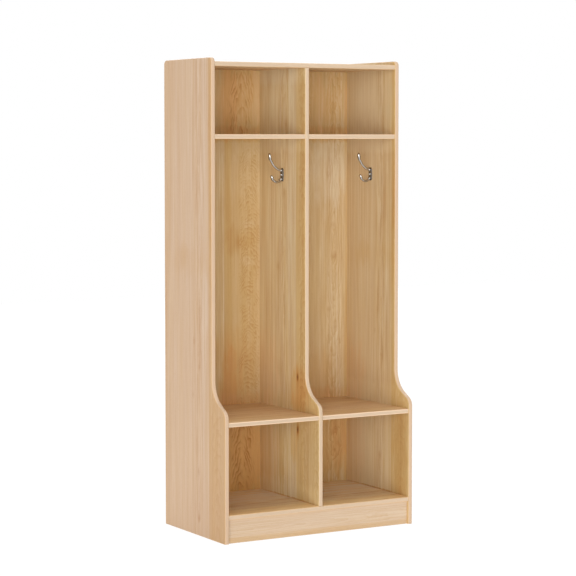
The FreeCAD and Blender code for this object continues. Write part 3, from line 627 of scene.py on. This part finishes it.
BACK_PATCHES = [
    # bands right across, painted light and shade: paler over the seat, in the top cubbies and the low
    # ones, under the upper shelf and at the hooks, and in the cubbies warmer and redder as painted shade
    (0, 350, WHOLE, 70, -0.04, 0.0, 0), (0, 1128, WHOLE, 110, -0.29, 0.65, 0.25),
    (0, 180, WHOLE, 150, -0.12, 0.80, 0.2), (0, 1000, WHOLE, 50, -0.16, 0.0, 0),
    (0, 920, WHOLE, 90, -0.06, -0.1, 0),
    # painted shadows: darker lines just above the upper shelf and the seat
    (0, 1028, WHOLE, 26, 0.14, 0.6, 0.2), (0, 308, WHOLE, 34, 0.06, 0.3, 0.3),
    # the brown wedge, and the pale figure over and under it
    (-88, 745, 34, 50, 0.14, 0.2, 0), (-48, 742, 34, 26, 0.08, 0.2, 0),
    (-40, 788, 28, 18, -0.06, -0.2, 0), (-40, 688, 28, 18, -0.06, -0.2, 0),
    # a pale glue line, and the amber stave in the top cubby and over the seat
    (-117, 600, 3, 900, -0.08, -0.2, 0), (-100, 1112, 34, 120, 0.04, 0.7, 0.1),
    (-100, 350, 28, 130, 0.06, 1.1, 0.2), (-90, 330, 60, 130, 0.02, 0.3, 0.1),
    # the left low cubby: warmer, and darker beside the divider, as painted shade, with a paler spot
    (-60, 130, 130, 190, 0.0, 0.8, 0), (-30, 170, 34, 160, 0.10, 0.1, 0), (-95, 100, 26, 60, -0.20, 0.0, 0),
    # the right bay's two pale streaks
    (237, 600, 4, 700, -0.10, -0.2, 0), (247, 300, 3, 400, -0.10, -0.2, 0),
    # warmer in the right bay's top cubby; warmer and redder over its seat, and darker in its low cubby's
    # corner by the right panel, as painted shade
    (184, 1112, 20, 110, -0.04, 0.3, 0), (190, 350, 60, 110, 0.02, 0.3, 0.2),
    (245, 190, 30, 120, 0.16, 0.6, 0.1),
    # paler beside the right hook, and warmer low down in the left bay
    (215, 930, 70, 150, -0.04, -0.35, 0), (-100, 430, 90, 110, 0.05, 0.3, 0.1)]
BACK_ARCS = [
    # the fine column in the left bay, and coarser ones in its low and its top cubby
    (0.42, -38, 12.5, 1.3, 14, 36, 280, 1010), (0.50, -62, 30, 3.4, 7, 44, 50, 330),
    (0.55, -62, 38, 4.4, 6, 42, 1000, 1220)]
BACK_RINGS = [(0.24, 228, 735, 0.08, 5.0, 18, 34), (0.24, 110, 400, 0.08, 5.0, 18, 60),
              (0.24, -235, 300, 0.08, 5.0, 18, 40)]
FRONT_FACE = (146, 148)     # mm behind the middle: patches end a little under the panel's front face

back_wood = wood(
    "back panel wood", "z", "x", "y", BACK_STAVES, seed=8, tint=(0.96, 1.005, 0.99), streaks=0.6,
    knots=BACK_KNOTS, patches=BACK_PATCHES, rings=BACK_RINGS, arcs=BACK_ARCS, skin=FRONT_FACE)
paint(back_wood, "back_panel")

# %% [markdown]
# ## Shelves and seat
#
# The flat boards have their grain from left to right and are quieter than the uprights. They are
# all cut from the same staves, so they share one table, and a tint tells them apart: the seat and
# the upper shelf are the darkest. The bottom shelf's tint is much paler, partly as paler wood and
# partly as painted light for the dim low cubbies. It is paler still to the rear, as painted light,
# and browner along its front edge.

# %% Shelves and seat
SHELF_STAVES = [
    (-165.5, 0.75, 0.00, 0.7, 0.3), (-105, 0.80, 0.02, 0.7, 0.3), (-98, 0.60, 0.06, 0.8, 0.4),
    (-30, 0.55, 0.08, 0.9, 0.6), (60, 0.70, 0.08, 0.9, 0.6), (165.5, 0.75, 0.04, 0.7, 0.3)]
SHELF_RINGS = [(0.20, -60, -200, 0.10, 6.0, 18, 60), (0.20, 90, 260, 0.10, 6.0, 18, 50)]
BOTTOM_SHELF_PATCHES = [
    # paler to the rear as painted light, browner in front
    (80, 0, 170, WHOLE, -0.20, -0.15, 0.1), (50, 0, 110, WHOLE, -0.24, -0.2, 0.15),
    (-165, 0, 70, WHOLE, 0.12, 0.6, 0.1)]


def flat_board_wood(name, seed, tint, **more):
    return wood(name, "x", "y", "z", SHELF_STAVES, seed, tint, coarse=3.0, threads=0.15,
                rings=SHELF_RINGS, **more)


top_wood = flat_board_wood("top board wood", 13, (1.10, 1.12, 1.18))
shelf_wood = flat_board_wood("shelf wood", 13, (0.92, 0.87, 0.88), edges=SHELF_EDGES_WITH_PAINTED_HIGHLIGHT)
# a much paler tint: partly paler wood, partly painted light for the dim low cubbies
bottom_wood = flat_board_wood("bottom shelf wood", 14, (1.24, 1.38, 1.62), patches=BOTTOM_SHELF_PATCHES)
paint(top_wood, "top_board")
paint(shelf_wood, "upper_shelf", "seat")
paint(bottom_wood, "bottom_shelf")

# %% [markdown]
# ## Kick board and rails
#
# The kick board closes the gap under the bottom shelf. It is of a pale, creamy wood, a little
# yellower near the floor. The rails behind and below do their work unseen and are plain sanded
# wood. They could borrow the shelves' table, but a calm one without figure suits them better.

# %% Kick board and rails
kick_wood = wood(
    "kick board wood", "x", "z", "y",
    [(0, 0.60, 0.04, 0.6, 0.2), (11, 0.50, 0.03, 0.6, 0.2), (15, 0.15, 0.0, 0.6, 0.2),
     (40, 0.10, 0.0, 0.5, 0.2), (60, 0.15, 0.02, 0.5, 0.2)],
    seed=17, tint=(0.925, 0.95, 1.06), streaks=0.24, threads=0.04, rings=[(0.14, 30, -300, 0.03, 4.0, 8, 40)])
paint(kick_wood, "kick_board")

rail_wood = wood(
    "rail wood", "x", "z", "y",
    [(0, 0.5, 0.06, 0.5, 0.3), (600, 0.6, 0.06, 0.5, 0.3), (1300, 0.5, 0.06, 0.5, 0.3)], seed=19)
paint(rail_wood, "rear_base_rail", "wall_rail")

stretcher_wood = wood(
    "stretcher wood", "y", "z", "x",
    [(0, 0.5, 0.06, 0.5, 0.3), (60, 0.6, 0.06, 0.5, 0.3)], seed=23)
paint(stretcher_wood, "base_stretcher")

# %% [markdown]
# ## Dowels
#
# The dowels are turned beech: pinkish, with tiny darker flecks. They sit inside the boards, where
# the full wood would be wasted on them, so a small material of two patterns does.

# %% Dowels
BEECH = (0.74, 0.54, 0.36)
BEECH_FLECK = (0.50, 0.32, 0.18)
DOWEL_NODES = [name for name in NODES if name.endswith("_dowels")]


def beech(name, seed):
    graph = Graph(name)
    grain = Grain(graph, "x", "y", "z")
    fleck = step(grain.noise(0.5, 2.0, seed), 0.12, 0.2)
    band = grain.noise(3, 40, seed + 1)
    colour = mix(fleck * 0.35 + band * 0.4 + 0.3, BEECH, BEECH_FLECK)
    graph.feed(graph.shader.inputs["Base Color"], colour)
    graph.feed(graph.shader.inputs["Roughness"], 0.6 + band * 0.1)
    return graph.owner


paint(beech("dowel beech", 2), *DOWEL_NODES)
print(len(DOWEL_NODES), "sets of dowels")

# %% [markdown]
# ## Chrome and steel
#
# The hooks are castings, polished and chrome plated. Chrome has hardly any colour of its own and
# is nearly a mirror, so what it shows is the room. One even roughness would make it look like
# plastic foil: a faint haze from wiping breaks up the mirror. Right next to the wall the plate is
# rougher, and its colour is darkened there as painted shade. The screws in the back are zinc
# plated and much duller.

# %% Chrome and steel
# painted shade: the colour of the hook plate right next to the wall
WALL_SHADE_COLOUR = (0.20, 0.185, 0.17)
CHROME = dict(colour=(0.52, 0.51, 0.49), worn=(0.47, 0.455, 0.43), smooth=0.15, rough=0.25, patch=0.012)
ZINC = dict(colour=(0.62, 0.62, 0.60), worn=(0.50, 0.50, 0.48), smooth=0.30, rough=0.45, patch=0.004)
DIVIDER_FACE = -0.006       # x of the wall behind each hook, in metres
RIGHT_PANEL_FACE = 0.269


def metal(name, colour, worn, smooth, rough, patch, wall=None):
    """Bare metal between two colours and two roughnesses, with patches of that size in metres.

    Up to 2 mm from a wall at that x it is rougher, and darkened as painted shade, and from
    4 mm on it has its full colour and polish."""
    graph = Graph(name)
    place = graph.node("ShaderNodeTexCoord", output="Object")
    haze = graph.node("ShaderNodeTexNoise", inputs={"Vector": place, "Scale": 1 / patch, "Detail": 3.0})
    wear = step(haze, 0.35, 0.75)
    shade = mix(wear, colour, worn)
    roughness = smooth + wear * (rough - smooth)
    # painted shade on the plate next to the wall, and a rougher finish there
    if wall is not None:
        x = Wire(graph, graph.split("ShaderNodeSeparateXYZ", place)["X"])
        shade_by_wall = 1 - step(wall - x, 0.002, 0.004)
        shade = mix(shade_by_wall, shade, WALL_SHADE_COLOUR)
        roughness = roughness + shade_by_wall * 0.3
    graph.feed(graph.shader.inputs["Base Color"], shade)
    graph.feed(graph.shader.inputs["Roughness"], roughness)
    graph.shader.inputs["Metallic"].default_value = 1.0
    print(name, len(graph.tree.nodes), "nodes")
    return graph.owner


paint(metal("left hook chrome", wall=DIVIDER_FACE, **CHROME), "left_hook")
paint(metal("right hook chrome", wall=RIGHT_PANEL_FACE, **CHROME), "right_hook")
paint(metal("hook screw chrome", **CHROME), "left_hook_screw", "right_hook_screw")
paint(metal("screw steel", **ZINC), "back_panel_screws")

# %% [markdown]
# ## The studio
#
# The unit stands on a plain white floor that runs on to a white horizon. Strong lamps could burn
# a grey floor out to white, but they would burn the pale wood out too. So for the eye the floor is
# nearly all its own white, with a share of real light mixed in, and the unit's faint shadow still
# falls on it. For the light that it throws back on the wood it is an ordinary pale floor.
#
# The floor throws no shadow itself, because the key lamp is so wide and low that half of it lies
# below the horizon.

# %% The studio
FLOOR_SIZE = 14.0           # metres
FLOOR_WHITE = 1.07
FLOOR_OWN_WHITE = 0.86      # the share of it that needs no light
FLOOR_PAINT = (0.88, 0.88, 0.88, 1)

bpy.ops.object.select_all(action="DESELECT")
bpy.ops.mesh.primitive_plane_add(size=FLOOR_SIZE, location=(0, 0, 0))
floor = bpy.context.object
floor.name = "studio_floor"
floor.visible_shadow = False


def seen_or_mirrored(graph):
    """1 for what the eye sees, straight or in metal and glass, and 0 for the light thrown on the unit."""
    rays = ("Is Camera Ray", "Is Glossy Ray", "Is Transmission Ray")
    seen, mirrored, through_glass = (graph.node("ShaderNodeLightPath", output=ray) for ray in rays)
    return (seen + mirrored + through_glass).clamp()


graph = Graph("studio floor")
shown = seen_or_mirrored(graph)
graph.shader.inputs["Base Color"].default_value = FLOOR_PAINT
graph.shader.inputs["Roughness"].default_value = 0.9
graph.shader.inputs["Specular IOR Level"].default_value = 0.0
white = graph.node("ShaderNodeEmission", inputs={"Color": (1.0, 1.0, 1.0), "Strength": FLOOR_WHITE})
both = graph.node("ShaderNodeMixShader", inputs={0: shown * FLOOR_OWN_WHITE, 2: white})
graph.feed(both.socket.node.inputs[1], Wire(graph, graph.shader.outputs[0]))
graph.feed(graph.tree.nodes["Material Output"].inputs["Surface"], both)
floor.data.materials.append(graph.owner)
print(floor.name, "is", FLOOR_SIZE, "m wide")

# %% [markdown]
# ## Light
#
# Three very soft lamps and a white sky. The key lamp is a wide bank that stands low on the left
# in front of the unit and fills the open bays to the back. A weaker one stands behind on the
# right, and a last one hangs overhead, so that no side is dull. Area lamps would do too, but their
# light fades with distance, and a sun lights the front and the rear of a bay alike.
#
# The sky is plain white where it is seen, and gives its own even light to the rest.

# %% Light
SKY_LIGHT = 0.38


def soft_sun(name, side, height, spread, level):
    """A lamp `spread` degrees wide, `side` degrees from the front and `height` above the horizon."""
    side = math.radians(side)
    height = math.radians(height)
    outwards = math.cos(height)
    towards = Vector((math.sin(side) * outwards, -math.cos(side) * outwards, math.sin(height)))
    light = bpy.data.lights.new(name, "SUN")
    light.angle = math.radians(spread)
    light.energy = level * math.pi
    lamp = bpy.data.objects.new(name, light)
    lamp.rotation_euler = towards.to_track_quat("Z", "Y").to_euler()
    bpy.context.scene.collection.objects.link(lamp)
    print(name, "gives", round(light.energy, 2), "W per square metre")


soft_sun("key_bank", side=-35, height=-2, spread=50, level=0.68)
soft_sun("back_bank", side=150, height=30, spread=50, level=0.35)
soft_sun("overhead_bank", side=-20, height=84, spread=40, level=0.45)

sky = Graph("white sky", bpy.data.worlds, "Background")
sky.shader.inputs["Color"].default_value = (1, 1, 1, 1)
sky.feed(sky.shader.inputs["Strength"], seen_or_mirrored(sky) * (1 - SKY_LIGHT) + SKY_LIGHT)
bpy.context.scene.world = sky.owner

# %% [markdown]
# ## Camera
#
# The unit is seen from the left and from a little above its middle. A near camera with a short
# lens would make the uprights run together, so it stands over five metres away, with a long lens
# that keeps them nearly parallel. A small shift of the lens does part of the looking down, which
# tilts the camera less.

# %% Camera
FRAME_WIDTH = 576           # pixels
FOCAL_PIXELS = 2031.1       # the lens, as a length in those pixels
SENSOR_WIDTH = 36           # mm
STAND = (-2.6815, -4.5933, 1.0142)
TILT_DOWN = 3.543           # degrees
TURN_RIGHT = 30.253         # degrees
LENS_SHIFT = -0.04          # of the frame's width

camera = bpy.data.objects.new("camera", bpy.data.cameras.new("camera"))
bpy.context.scene.collection.objects.link(camera)
camera.location = STAND
camera.rotation_euler = (math.radians(90 - TILT_DOWN), 0, math.radians(-TURN_RIGHT))
camera.data.sensor_width = SENSOR_WIDTH
camera.data.lens = FOCAL_PIXELS / FRAME_WIDTH * SENSOR_WIDTH
camera.data.shift_y = LENS_SHIFT
bpy.context.scene.camera = camera
bpy.context.scene.view_settings.view_transform = "Standard"
print("a lens of", round(camera.data.lens), "mm, from", STAND)
